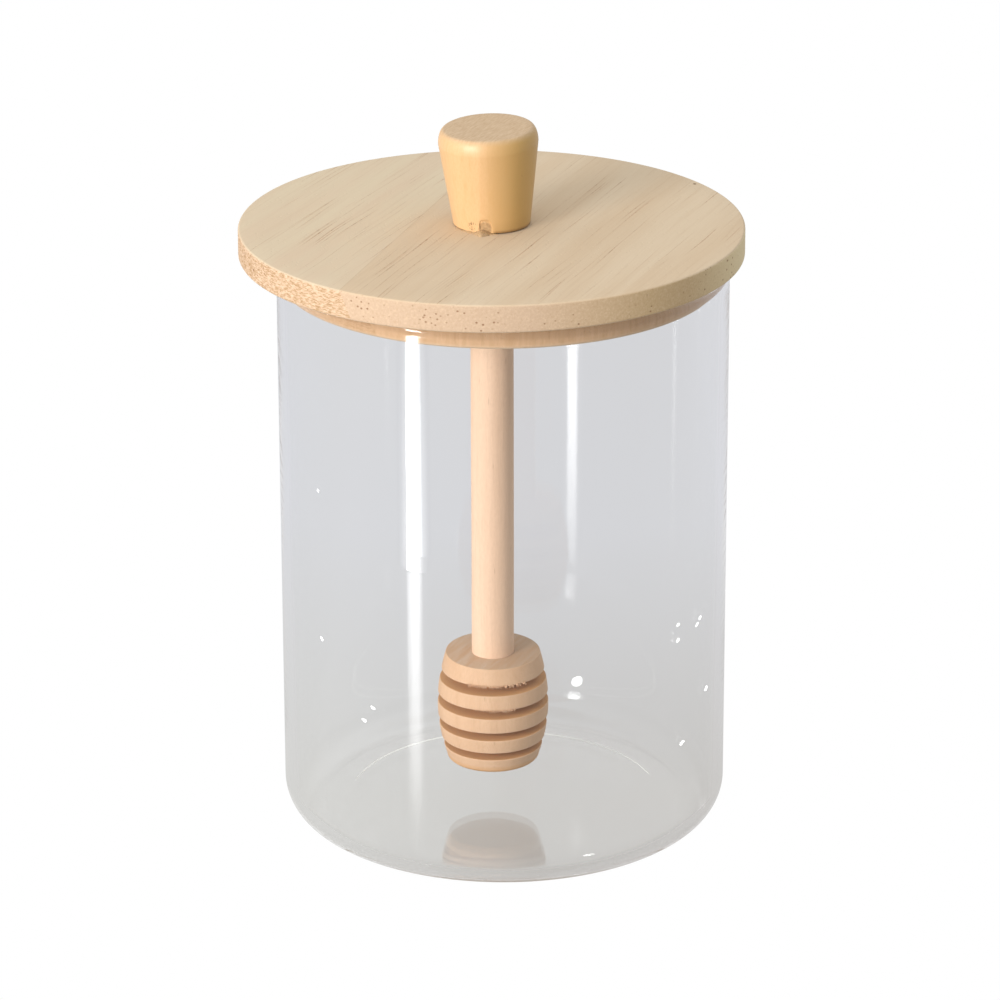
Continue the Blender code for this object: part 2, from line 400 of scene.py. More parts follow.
def clear_glass():
    """Clear glass with a faint smear that is only just duller, and shallow ripples."""
    made, tree, shader = new_finish("clear_glass")
    shader.inputs["Transmission Weight"].default_value = 1.0
    shader.inputs["IOR"].default_value = 1.47
    place = put(tree, "ShaderNodeTexCoord").outputs["Object"]
    smear = put(tree, "ShaderNodeTexNoise", {"Vector": place, "Scale": 60.0, "Detail": 3.0}).outputs[0]
    clean, tinted = (0.987, 0.990, 0.988, 1), (0.977, 0.980, 0.978, 1)
    tree.links.new(blended(tree, smear, clean, tinted), shader.inputs["Base Color"])
    tree.links.new(spread(tree, smear, 0.55, 0.75, 0.0, 0.02), shader.inputs["Roughness"])
    ripple = put(tree, "ShaderNodeTexNoise", {"Vector": place, "Scale": 90.0, "Detail": 1.0}).outputs[0]
    relief = {"Height": ripple, "Strength": 0.05, "Distance": 0.0002}
    tree.links.new(put(tree, "ShaderNodeBump", relief).outputs[0], shader.inputs["Normal"])
    return made


jar = turned("jar_glass", jar_outline(), GLASS_SIDES, clear_glass(), waved)
jar.visible_shadow = False
jar.visible_diffuse = False
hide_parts("glass_jar")


# Small lamps: a few little round lamps stand low round the jar, and one larger one in front.
# Only the glass mirrors them. Each is given by where its spark shows in the picture, in pixels from
# the top left corner.
PICTURE_SIDE = 1000
SPARKS = (
    (322, 639), (373, 708), (364, 720), (318, 490), (678, 625), (678, 641),
    (700, 618), (697, 625), (706, 688), (682, 743), (590, 860),
)
SPARK_LAMP_SIZE = (0.0045, 0.0009)
LARGE_SPARK = (577, 681)
LARGE_LAMP_SIZE = (0.0105, 0.0026)
LAMP_REACH = 0.6
LAMP_STRENGTH = 16.0
LAMP_SIDES = 24


def lamp_place(spark):
    """Where a lamp stands for the jar's front to mirror it at the spark's place in the picture."""
    column, row = spark
    pixel = CAMERA_SENSOR / CAMERA_LENS / PICTURE_SIDE
    half = PICTURE_SIDE / 2
    sight = Vector(((column - half) * pixel, (half - row) * pixel, -1))
    glance = (camera.rotation_euler.to_matrix() @ sight).normalized()
    from_axis = camera.location - Vector((JAR_CENTRE, 0, 0))
    slope = glance.xy.dot(from_axis.xy) / glance.xy.length_squared
    excess = (from_axis.xy.length_squared - JAR_RADIUS ** 2) / glance.xy.length_squared
    wall = camera.location + glance * (-slope - (slope ** 2 - excess) ** 0.5)
    out = Vector((wall.x - JAR_CENTRE, wall.y, 0)).normalized()
    glance -= 2 * glance.dot(out) * out
    return wall + glance * (LAMP_REACH * wall.z / -glance.z)


def lamp_face(spark, size):
    """The points round a lamp's face, which looks at the middle of the table."""
    place = lamp_place(spark)
    sideways = Vector((-place.y, place.x, 0)).normalized()
    points = []
    for side in range(LAMP_SIDES):
        angle = 2 * pi * side / LAMP_SIDES
        across = sideways * size[0] / 2 * cos(angle)
        points.append(place + across + Vector((0, 0, size[1] / 2 * sin(angle))))
    return points


lamp_faces = [lamp_face(spark, SPARK_LAMP_SIZE) for spark in SPARKS]
lamp_faces.append(lamp_face(LARGE_SPARK, LARGE_LAMP_SIZE))
studio_piece("small_lamps", lamp_faces, glow("lamp_glow", LAMP_STRENGTH), "glossy")


# Floor line: a painted highlight, a fine pale line round the back of the jar's floor where
# light gathers in the glass, made as a low ridge of pale dull stuff.
LINE_RADIUS = 0.0355
LINE_HALF_WIDTH = 0.00030
LINE_HEIGHT = 0.00006
LINE_CENTRE = (JAR_CENTRE, -0.0012, JAR_BASE + JAR_BASE_RISE)
LINE_START = radians(18)
LINE_END = radians(166)
LINE_STEPS = 120


def bridged(shape, rings):
    """Closes a bead from its rings of points: the faces between them, then its two ends."""
    for near, far in zip(rings, rings[1:]):
        for side in range(len(near)):
            after = (side + 1) % len(near)
            shape.faces.new([near[side], near[after], far[after], far[side]])
    shape.faces.new(rings[0])
    shape.faces.new(rings[-1])
    bmesh.ops.recalc_face_normals(shape, faces=shape.faces)
    return shape


def line_ridge():
    """A low ridge, three-sided in section and narrower towards its ends."""
    shape = bmesh.new()
    rings = []
    for step in range(LINE_STEPS + 1):
        share = step / LINE_STEPS
        angle = LINE_START + (LINE_END - LINE_START) * share
        half_width = LINE_HALF_WIDTH * max(0.1, sin(pi * share)) ** 0.5
        ring = []
        for off, height in ((-half_width, 0), (0, LINE_HEIGHT), (half_width, 0)):
            point = Vector((cos(angle), sin(angle), 0)) * (LINE_RADIUS + off) + Vector((0, 0, height))
            ring.append(shape.verts.new(point + Vector(LINE_CENTRE)))
        rings.append(ring)
    return bridged(shape, rings)


def painted_highlight_glass():
    """Pale dull stuff, not clear glass: a painted highlight for where light gathers in the glass."""
    made, _, shader = new_finish("floor_highlight_paint")
    shader.inputs["Base Color"].default_value = (0.90, 0.94, 0.92, 1)
    shader.inputs["Roughness"].default_value = 0.4
    return made


floor_highlight_line = finished("floor_highlight_line", line_ridge(), painted_highlight_glass())
wooden.objects.link(floor_highlight_line)


# Lid: a disc sawn from a board of pale rubberwood, glued up from two strips, sanded and left bare.
# The plug under it is cut from the same board and sits loosely in the jar's mouth.
LID_EDGE_ROUND = 0.0005
PLUG_RADIUS = 0.0474
PLUG_DEPTH = 0.0063
PLUG_EDGE_ROUND = 0.0008
PLUG_OFFSET = 0.0020
SOCKET_RADIUS = 0.0051
SOCKET_DEPTH = 0.0040
LID_SIDES = 256
GRAIN_TURN = radians(68 - 90)
OTHER_GRAIN_TURN = radians(66 - 90)
JOINT_TURN = radians(72)
JOINT_ACROSS = -0.0166
JOINT_LEAN = 0.49
JOINT_WIDTH = 0.00012
KNOT_PLACE = (0.0457, 0.0289, 0.1391)

lid_low, lid_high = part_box("lid")
LID_RADIUS = (lid_high.x - lid_low.x) / 2
LID_TOP = lid_high.z
LID_UNDERSIDE = lid_low.z + PLUG_DEPTH


def stretched(tree, place, across, along, deep, turn=0.0, shift=(0.0, 0.0, 0.0)):
    """A place in metres turned to the grain and measured in the given lengths."""
    feeds = {"Vector": place, "Location": shift, "Rotation": (0, 0, turn), "Scale": (across, along, deep)}
    return put(tree, "ShaderNodeMapping", feeds, vector_type="TEXTURE").outputs[0]


def mottle(tree, place, detail=2.0, roughness=0.5):
    """Soft random patches, each about as large as one unit of the place."""
    feeds = {"Vector": place, "Scale": 1.0, "Detail": detail, "Roughness": roughness}
    return put(tree, "ShaderNodeTexNoise", feeds).outputs[0]


def pores(tree, place, size, share):
    """1 in the wood's open pores: the middles of stretched cells, in only a share of the cells."""
    cell = put(tree, "ShaderNodeTexVoronoi", {"Vector": place, "Scale": 1.0})
    core = spread(tree, cell.outputs["Distance"], size * 0.5, size, 1.0, 0.0)
    pick = put(tree, "ShaderNodeSeparateColor", {0: cell.outputs["Color"]}).outputs[0]
    return reckoned(tree, "MULTIPLY", core, reckoned(tree, "LESS_THAN", pick, share))


def lid_outline():
    """Down from the middle of the top, round the disc's edge, down the plug and up into the socket."""
    edge = LID_RADIUS - LID_EDGE_ROUND
    points = [(0, LID_TOP), *straight((0, LID_TOP), (edge, LID_TOP), 12)]
    points += arc(edge, LID_TOP - LID_EDGE_ROUND, LID_EDGE_ROUND, 90, 0, 8)
    points += straight(points[-1], (LID_RADIUS, LID_UNDERSIDE + LID_EDGE_ROUND), 4)
    points += arc(edge, LID_UNDERSIDE + LID_EDGE_ROUND, LID_EDGE_ROUND, 0, -90, 8)
    disc = [(radius, height, 0) for radius, height in points]
    plug_bottom = LID_UNDERSIDE - PLUG_DEPTH
    plug_edge = PLUG_RADIUS - PLUG_EDGE_ROUND
    points = [(PLUG_RADIUS, LID_UNDERSIDE)]
    points += arc(plug_edge, plug_bottom + PLUG_EDGE_ROUND, PLUG_EDGE_ROUND, 0, -90, 8)
    plug = [(radius, height, PLUG_OFFSET) for radius, height in points]
    socket_top = plug_bottom + SOCKET_DEPTH
    socket = [(SOCKET_RADIUS, plug_bottom, 0), (SOCKET_RADIUS, socket_top, 0), (0, socket_top, 0)]
    return disc + plug + socket


def strip_grain(tree, place, turn, shift, pale, middle, dark):
    """One strip of the board: the colour of its bands, streaks and pores, its fibres and its thin lines."""
    drift = mottle(tree, stretched(tree, place, 0.012, 0.045, 0.012, turn, shift), 1.0)
    sway = put(tree, "ShaderNodeCombineXYZ", {0: reckoned(tree, "MULTIPLY", drift, 0.0030)}).outputs[0]
    place = put(tree, "ShaderNodeVectorMath", {0: place, 1: sway}).outputs[0]
    bands = mottle(tree, stretched(tree, place, 0.009, 0.120, 0.009, turn, shift), 2.0)
    streaks = mottle(tree, stretched(tree, place, 0.0012, 0.050, 0.0012, turn, shift), 3.0, 0.6)
    lines = mottle(tree, stretched(tree, place, 0.00045, 0.050, 0.00045, turn, shift), 1.0, 0.5)
    fibres = mottle(tree, stretched(tree, place, 0.00020, 0.006, 0.00020, turn, shift), 2.0, 0.6)
    clusters = mottle(tree, stretched(tree, place, 0.006, 0.030, 0.006, turn, (0.4, 0.2, 0.1)), 1.0)
    colour = blended(tree, spread(tree, bands, 0.38, 0.62), pale, middle)
    colour = blended(tree, spread(tree, streaks, 0.52, 0.80, 0.0, 0.30), colour, dark)
    colour = blended(tree, spread(tree, fibres, 0.35, 0.75, 0.0, 0.14), colour, dark)
    thin = spread(tree, lines, 0.62, 0.70, 0.0, 1.0)
    thin = reckoned(tree, "MULTIPLY", thin, spread(tree, clusters, 0.42, 0.60, 0.10, 0.60))
    colour = blended(tree, thin, colour, (0.50, 0.325, 0.205, 1))
    dashes = mottle(tree, stretched(tree, place, 0.0006, 0.0016, 0.0006, turn, shift), 1.0)
    dashes = reckoned(tree, "MULTIPLY", spread(tree, dashes, 0.56, 0.66), spread(tree, lines, 0.64, 0.70))
    dashes = reckoned(tree, "MULTIPLY", dashes, spread(tree, clusters, 0.45, 0.60, 0.1, 0.50))
    return blended(tree, dashes, colour, (0.25, 0.14, 0.08, 1)), fibres, thin


def near_spot(tree, place, spot, size, ragged=0.0):
    """1 within a round spot of the given half sizes, with a soft and, if asked, a ragged edge."""
    feeds = {"Vector": place, "Location": spot, "Scale": size}
    local = put(tree, "ShaderNodeMapping", feeds, vector_type="TEXTURE").outputs[0]
    away = put(tree, "ShaderNodeVectorMath", {0: local}, operation="LENGTH").outputs["Value"]
    if ragged:
        rough = mottle(tree, stretched(tree, place, 0.0004, 0.0004, 0.0004), 2.0)
        away = reckoned(tree, "ADD", away, reckoned(tree, "MULTIPLY", rough, ragged))
        away = reckoned(tree, "SUBTRACT", away, ragged / 2)
    return spread(tree, away, 0.8, 1.05, 1.0, 0.0)


def lid_board():
    """Bare sanded rubberwood: pale strips, pinkish lines, a dotted edge and a warmer plug, with painted
    light and shade on both.
    """
    made, tree, shader = new_finish("lid_board")
    source = put(tree, "ShaderNodeTexCoord")
    place = source.outputs["Object"]
    spot = put(tree, "ShaderNodeSeparateXYZ", {0: place})
    pale, middle, dark = (0.694, 0.574, 0.418, 1), (0.658, 0.526, 0.370, 1), (0.545, 0.402, 0.262, 1)
    colour, fibres, thin = strip_grain(tree, place, GRAIN_TURN, (0, 0, 0), pale, middle, dark)
    pale, middle, dark = (0.694, 0.596, 0.436, 1), (0.682, 0.558, 0.408, 1), (0.590, 0.460, 0.320, 1)
    shift = (0.30, 0.10, 0.05)
    other, other_fibres, other_thin = strip_grain(tree, place, OTHER_GRAIN_TURN, shift, pale, middle, dark)
    way = (sin(JOINT_TURN), -cos(JOINT_TURN), JOINT_LEAN)
    across = put(tree, "ShaderNodeVectorMath", {0: place, 1: way}, operation="DOT_PRODUCT").outputs["Value"]
    at_joint = JOINT_ACROSS + JOINT_LEAN * LID_TOP
    beyond = reckoned(tree, "LESS_THAN", across, at_joint)
    colour = blended(tree, beyond, colour, other)
    fibres = blended(tree, beyond, fibres, other_fibres)
    thin = blended(tree, beyond, thin, other_thin)
    off_joint = reckoned(tree, "ABSOLUTE", reckoned(tree, "SUBTRACT", across, at_joint))
    joint_line = spread(tree, off_joint, JOINT_WIDTH * 0.3, JOINT_WIDTH, 0.30, 0.0)
    colour = blended(tree, joint_line, colour, (0.42, 0.30, 0.18, 1))
    knot = near_spot(tree, place, KNOT_PLACE, (0.0004, 0.0006, 0.0006))
    colour = blended(tree, reckoned(tree, "MULTIPLY", knot, 0.7), colour, (0.20, 0.11, 0.06, 1))

    up = put(tree, "ShaderNodeSeparateXYZ", {0: source.outputs["Normal"]}).outputs["Z"]
    side = spread(tree, reckoned(tree, "ABSOLUTE", up), 0.3, 0.75, 1.0, 0.0)
    # Painted shade: the edge turns yellower towards the right, its shaded side.
    rightward = spread(tree, spot.outputs["X"], 0.008, 0.034)
    edge_colour = blended(tree, rightward, (0.615, 0.468, 0.338, 1), (0.605, 0.455, 0.270, 1))
    # Painted light: the far right of the edge is paler, where a whitish light catches it.
    far_right_painted_light = spread(tree, spot.outputs["X"], 0.042, 0.054)
    edge_colour = blended(tree, far_right_painted_light, edge_colour, (0.800, 0.690, 0.450, 1))
    speckle = mottle(tree, stretched(tree, place, 0.0005, 0.0005, 0.0005), 3.0, 0.7)
    light_specks = spread(tree, speckle, 0.52, 0.66, 0.0, 0.35)
    edge_colour = blended(tree, light_specks, edge_colour, (0.80, 0.64, 0.46, 1))
    dark_specks = spread(tree, speckle, 0.34, 0.46, 0.25, 0.0)
    edge_colour = blended(tree, dark_specks, edge_colour, (0.48, 0.31, 0.18, 1))
    sawn = mottle(tree, stretched(tree, place, 0.0011, 0.0014, 0.00030), 3.0, 0.75)
    golden = blended(tree, spread(tree, sawn, 0.40, 0.62), (0.76, 0.585, 0.43, 1), (0.45, 0.290, 0.155, 1))
    rough_side = reckoned(tree, "MULTIPLY", side, beyond)
    edge_colour = blended(tree, beyond, edge_colour, golden)
    groups = mottle(tree, stretched(tree, place, 0.009, 0.009, 0.02), 1.0)
    groups = reckoned(tree, "ADD", groups, reckoned(tree, "MULTIPLY", rightward, 0.07))
    dots = pores(tree, stretched(tree, place, 0.0012, 0.0012, 0.0010), 0.27, 0.55)
    dots = reckoned(tree, "MULTIPLY", dots, spread(tree, groups, 0.42, 0.56, 0.0, 0.8))
    edge_colour = blended(tree, dots, edge_colour, (0.26, 0.135, 0.07, 1))
    colour = blended(tree, side, colour, edge_colour)

    in_plug = spread(tree, spot.outputs["Z"], LID_UNDERSIDE - 0.0004, LID_UNDERSIDE - 0.0001, 1.0, 0.0)
    upright = mottle(tree, stretched(tree, place, 0.0010, 0.0010, 0.006), 3.0, 0.7)
    pale, dark = (0.69, 0.470, 0.290, 1), (0.58, 0.375, 0.210, 1)
    plug_colour = blended(tree, spread(tree, upright, 0.30, 0.70), pale, dark)
    plug_flecks = reckoned(tree, "MULTIPLY", beyond, spread(tree, sawn, 0.40, 0.60, 0.55, 0.0))
    plug_colour = blended(tree, plug_flecks, plug_colour, (0.42, 0.25, 0.12, 1))
    # Painted shadow: the plug darker towards its top, under the disc's overhang.
    plug_painted_shadow = spread(tree, spot.outputs["Z"], LID_UNDERSIDE - 0.0044, LID_UNDERSIDE - 0.0020, 0.0, 0.50)
    plug_colour = blended(tree, plug_painted_shadow, plug_colour, (0.40, 0.22, 0.10, 1))
    plug_bottom = LID_UNDERSIDE - PLUG_DEPTH
    # Painted highlight: a pale band along the plug's rounded lower edge.
    plug_edge_highlight = spread(tree, spot.outputs["Z"], plug_bottom + 0.0003, plug_bottom + 0.0011, 0.6, 0.0)
    plug_colour = blended(tree, plug_edge_highlight, plug_colour, (0.74, 0.57, 0.40, 1))
    colour = blended(tree, reckoned(tree, "MULTIPLY", in_plug, side), colour, plug_colour)

    tree.links.new(colour, shader.inputs["Base Color"])
    tree.links.new(spread(tree, fibres, 0.3, 0.7, 0.62, 0.75), shader.inputs["Roughness"])
    shader.inputs["Specular IOR Level"].default_value = 0.05
    height = reckoned(tree, "SUBTRACT", reckoned(tree, "MULTIPLY", fibres, 0.3), thin)
    height = reckoned(tree, "SUBTRACT", height, reckoned(tree, "MULTIPLY", dots, 0.8))
    height = reckoned(tree, "ADD", height, reckoned(tree, "MULTIPLY", rough_side, sawn))
    relief = put(tree, "ShaderNodeBump", {"Height": height, "Strength": 0.5, "Distance": 0.00012})
    tree.links.new(relief.outputs[0], shader.inputs["Normal"])
    return made


lid = turned("lid_board", lid_outline(), LID_SIDES, lid_board())
wooden.objects.link(lid)
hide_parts("lid")


# Knob: turned from a yellower wood and waxed to a satin shine, then glued on leaning a little.
# Its foot is chipped where it was broken out of the lathe, and it was cut level to sit flat on the lid.
KNOB_BASE_RADIUS = 0.0085
KNOB_WIDEST_RADIUS = 0.0110
KNOB_WIDEST_HEIGHT = 0.0185
KNOB_FLAT_RADIUS = 0.0095
KNOB_HEIGHT = 0.0218
KNOB_BELOW_CUT = 0.0015
KNOB_PLACE = Vector((0.0001, 0.0009, 0))
KNOB_LEAN_LEFT = radians(2.35)
KNOB_LEAN_FORWARD = radians(1.5)
KNOB_SIDES = 256
CHIP_TURN = radians(-99)
CHIP_HALF_WIDTH = 0.0014
CHIP_HEIGHT = 0.0034
CHIP_DEPTH = 0.0003
CHIP_PLACE = (-0.0014, -0.0077, 0.1405)
SCUFF_PLACE = (-0.0042, -0.0066, 0.1408)

knob_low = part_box("knob")[0]
KNOB_PLACE.z = knob_low.z
KNOB_LEAN = Matrix.Rotation(-KNOB_LEAN_LEFT, 3, "Y") @ Matrix.Rotation(KNOB_LEAN_FORWARD, 3, "X")


def knob_outline():
    """Down from the middle of the flat top, over the soft shoulder and down the cone below the cut."""
    points = [(0, KNOB_HEIGHT), *straight((0, KNOB_HEIGHT), (KNOB_FLAT_RADIUS, KNOB_HEIGHT), 5)]
    steps = 18
    for step in range(steps + 1):
        angle = pi / 2 * (1 - step / steps)
        radius = KNOB_FLAT_RADIUS + (KNOB_WIDEST_RADIUS - KNOB_FLAT_RADIUS) * cos(angle)
        points.append((radius, KNOB_WIDEST_HEIGHT + (KNOB_HEIGHT - KNOB_WIDEST_HEIGHT) * sin(angle)))
    taper = (KNOB_WIDEST_RADIUS - KNOB_BASE_RADIUS) / KNOB_WIDEST_HEIGHT
    foot = (KNOB_BASE_RADIUS - taper * KNOB_BELOW_CUT, -KNOB_BELOW_CUT)
    points += [*straight(points[-1], foot, 80), foot, (0, -KNOB_BELOW_CUT)]
    return points


def knob_point(point, angle):
    """Scoops the chip out of the foot, and leans the point as the knob was glued."""
    around = (angle - CHIP_TURN + pi) % (2 * pi) - pi
    sideways = around * KNOB_BASE_RADIUS / CHIP_HALF_WIDTH
    upward = max(point.z, 0) / CHIP_HEIGHT
    bowl = 1 - (sideways ** 4 + upward ** 4)
    if bowl > 0 and point.xy.length > KNOB_BASE_RADIUS / 2:
        out = Vector((cos(angle), sin(angle), 0))
        ragged = 1 + 0.5 * noise.noise(point * 2500)
        point = point - out * CHIP_DEPTH * min(1, bowl * 4) * ragged
    return KNOB_LEAN @ point + KNOB_PLACE


def knob_wood():
    """Satin waxed wood, yellow-orange, with upright grain, dull end grain on top and a bare chip; painted
    shade on its right side and foot, a painted sheen on its left.
    """
    made, tree, shader = new_finish("knob_wood")
    source = put(tree, "ShaderNodeTexCoord")
    place = source.outputs["Object"]
    spot = put(tree, "ShaderNodeSeparateXYZ", {0: place})
    bands = mottle(tree, stretched(tree, place, 0.006, 0.010, 0.200), 2.0)
    streaks = mottle(tree, stretched(tree, place, 0.0009, 0.0009, 0.030, 0.3), 2.0, 0.6)
    fibres = mottle(tree, stretched(tree, place, 0.00030, 0.00030, 0.0011), 3.0, 0.7)
    pale, middle = (0.760, 0.505, 0.272, 1), (0.710, 0.455, 0.230, 1)
    colour = blended(tree, spread(tree, bands, 0.35, 0.65), pale, middle)
    # Painted shade: the knob's right side darker and warmer, away from the key lamp.
    right_painted_shade = spread(tree, spot.outputs["X"], -0.0030, 0.0060, 0.0, 0.90)
    colour = blended(tree, right_painted_shade, colour, (0.520, 0.335, 0.105, 1))
    # Painted highlight: a paler band down the knob's left flank, for the wax's sheen.
    left_painted_sheen = spread(tree, spot.outputs["X"], -0.0030, -0.0022, 0.35, 0.0)
    colour = blended(tree, left_painted_sheen, colour, (0.84, 0.58, 0.32, 1))
    colour = blended(tree, spread(tree, streaks, 0.50, 0.80, 0.0, 0.28), colour, (0.60, 0.36, 0.13, 1))
    colour = blended(tree, spread(tree, fibres, 0.42, 0.66, 0.0, 0.22), colour, (0.60, 0.37, 0.15, 1))
    flecks = pores(tree, stretched(tree, place, 0.0022, 0.0022, 0.0030), 0.09, 0.16)
    colour = blended(tree, reckoned(tree, "MULTIPLY", flecks, 0.55), colour, (0.33, 0.17, 0.07, 1))
    up = put(tree, "ShaderNodeSeparateXYZ", {0: source.outputs["Normal"]}).outputs["Z"]
    on_top = spread(tree, up, 0.35, 0.95)
    end_grain = mottle(tree, stretched(tree, place, 0.0004, 0.0025, 0.01, radians(-30)), 3.0, 0.6)
    pale, middle = (0.625, 0.465, 0.295, 1), (0.530, 0.370, 0.215, 1)
    top_colour = blended(tree, spread(tree, end_grain, 0.35, 0.65), pale, middle)
    colour = blended(tree, on_top, colour, top_colour)

    chip = near_spot(tree, place, CHIP_PLACE, (0.00150, 0.0030, 0.00165), 0.25)
    bare = mottle(tree, stretched(tree, place, 0.0006, 0.0006, 0.0006), 2.0)
    pale, middle = (0.53, 0.355, 0.185, 1), (0.42, 0.265, 0.130, 1)
    chip_colour = blended(tree, spread(tree, bare, 0.35, 0.65), pale, middle)
    colour = blended(tree, chip, colour, chip_colour)
    scuff = near_spot(tree, place, SCUFF_PLACE, (0.00095, 0.0030, 0.00110), 0.3)
    marks = mottle(tree, stretched(tree, place, 0.00022, 0.00022, 0.0006, 0.4), 1.0)
    scuff = reckoned(tree, "MULTIPLY", scuff, spread(tree, marks, 0.52, 0.60, 0.0, 0.8))
    colour = blended(tree, scuff, colour, (0.22, 0.11, 0.05, 1))
    # Painted shade where the knob meets the lid on its shaded right: a dark line at the very foot and a
    # darkening over its lowest few millimetres.
    rightward = spread(tree, spot.outputs["X"], 0.0002, 0.0010)
    foot_crease_shade = spread(tree, spot.outputs["Z"], knob_low.z + 0.00015, knob_low.z + 0.0006, 0.85, 0.0)
    foot_crease_shade = reckoned(tree, "MULTIPLY", foot_crease_shade, rightward)
    colour = blended(tree, foot_crease_shade, colour, (0.22, 0.11, 0.04, 1))
    foot_painted_shade = spread(tree, spot.outputs["Z"], knob_low.z, knob_low.z + 0.0030, 0.35, 0.0)
    colour = blended(tree, reckoned(tree, "MULTIPLY", foot_painted_shade, rightward), colour, (0.45, 0.27, 0.10, 1))

    tree.links.new(colour, shader.inputs["Base Color"])
    shader.inputs["Coat Weight"].default_value = 0.10
    shader.inputs["Coat Roughness"].default_value = 0.40
    dull = reckoned(tree, "MAXIMUM", on_top, chip)
    tree.links.new(spread(tree, dull, 0.0, 1.0, 0.40, 0.65), shader.inputs["Roughness"])
    relief = put(tree, "ShaderNodeBump", {"Height": streaks, "Strength": 0.15, "Distance": 0.0001})
    tree.links.new(relief.outputs[0], shader.inputs["Normal"])
    return made


knob = turned("knob_turned", knob_outline(), KNOB_SIDES, knob_wood(), knob_point, knob_low.z)
wooden.objects.link(knob)
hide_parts("knob")


# Glue: a lump of yellow-brown wood glue pressed out from under the knob at its front left, set hard.
# It lies on the lid against the knob's foot, with a thin tail to each side.
GLUE_START = radians(-165)
GLUE_END = radians(-80)
GLUE_MIDDLE = radians(-105)
GLUE_WIDTH = 0.0021
GLUE_HEIGHT = 0.0010
GLUE_SPREAD = radians(20)
GLUE_STEPS = 130
GLUE_SIDES = 14


def glue_bead():
    """A closed bead of half-round sections along the knob's foot, thick and thin by chance."""
    shape = bmesh.new()
    rings = []
    for step in range(GLUE_STEPS + 1):
        share = step / GLUE_STEPS
        angle = GLUE_START + (GLUE_END - GLUE_START) * share
        lump = noise.noise(Vector((share * 5.3, 4.2, 0)))
        lump += 0.4 * noise.noise(Vector((share * 12.7, 1.7, 0)))
        body = 0.30 + 0.70 * exp(-((angle - GLUE_MIDDLE) / GLUE_SPREAD) ** 2)
        swell = body * max(0.3, 0.75 + 0.8 * lump) * min(1, 8 * share, 8 * (1 - share)) + 0.02
        out = Vector((cos(angle), sin(angle), 0))
        foot = Vector((KNOB_PLACE.x, KNOB_PLACE.y, LID_TOP)) + out * (KNOB_BASE_RADIUS - 0.0001)
        ring = []
        for side in range(GLUE_SIDES):
            turn = 2 * pi * side / GLUE_SIDES
            wide = GLUE_WIDTH * swell * cos(turn)
            high = GLUE_HEIGHT * swell * sin(turn)
            ring.append(shape.verts.new(foot + out * wide + Vector((0, 0, max(high, -0.00002)))))
        rings.append(ring)
    return bridged(shape, rings)


def set_glue():
    """Hard yellow-brown glue, a little cloudy."""
    made, tree, shader = new_finish("set_glue")
    place = put(tree, "ShaderNodeTexCoord").outputs["Object"]
    cloud = mottle(tree, stretched(tree, place, 0.0005, 0.0005, 0.0005), 2.0)
    colour = blended(tree, cloud, (0.70, 0.51, 0.30, 1), (0.36, 0.21, 0.09, 1))
    tree.links.new(colour, shader.inputs["Base Color"])
    tree.links.new(spread(tree, cloud, 0.3, 0.7, 0.15, 0.4), shader.inputs["Roughness"])
    shader.inputs["Transmission Weight"].default_value = 0.15
    relief = put(tree, "ShaderNodeBump", {"Height": cloud, "Strength": 0.5, "Distance": 0.0001})
    tree.links.new(relief.outputs[0], shader.inputs["Normal"])
    return made


glue = finished("glue_bead", glue_bead(), set_glue())
wooden.objects.link(glue)


# Dipper rod: a plain beech dowel, sanded along its length and glued into the lid and into the head.
# Its ends are eased with a touch of sandpaper.
ROD_EDGE_ROUND = 0.0004
ROD_SIDES = 96

rod_low, rod_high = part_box("dipper_rod")
ROD_RADIUS = (rod_high.x - rod_low.x) / 2


def rod_outline():
    """The dowel from the top down."""
    edge = ROD_RADIUS - ROD_EDGE_ROUND
    points = [(0, rod_high.z), *arc(edge, rod_high.z - ROD_EDGE_ROUND, ROD_EDGE_ROUND, 90, 0, 5)]
    points += straight(points[-1], (ROD_RADIUS, rod_low.z + ROD_EDGE_ROUND), 60)
    points += [*arc(edge, rod_low.z + ROD_EDGE_ROUND, ROD_EDGE_ROUND, 0, -90, 5), (0, rod_low.z)]
    return points


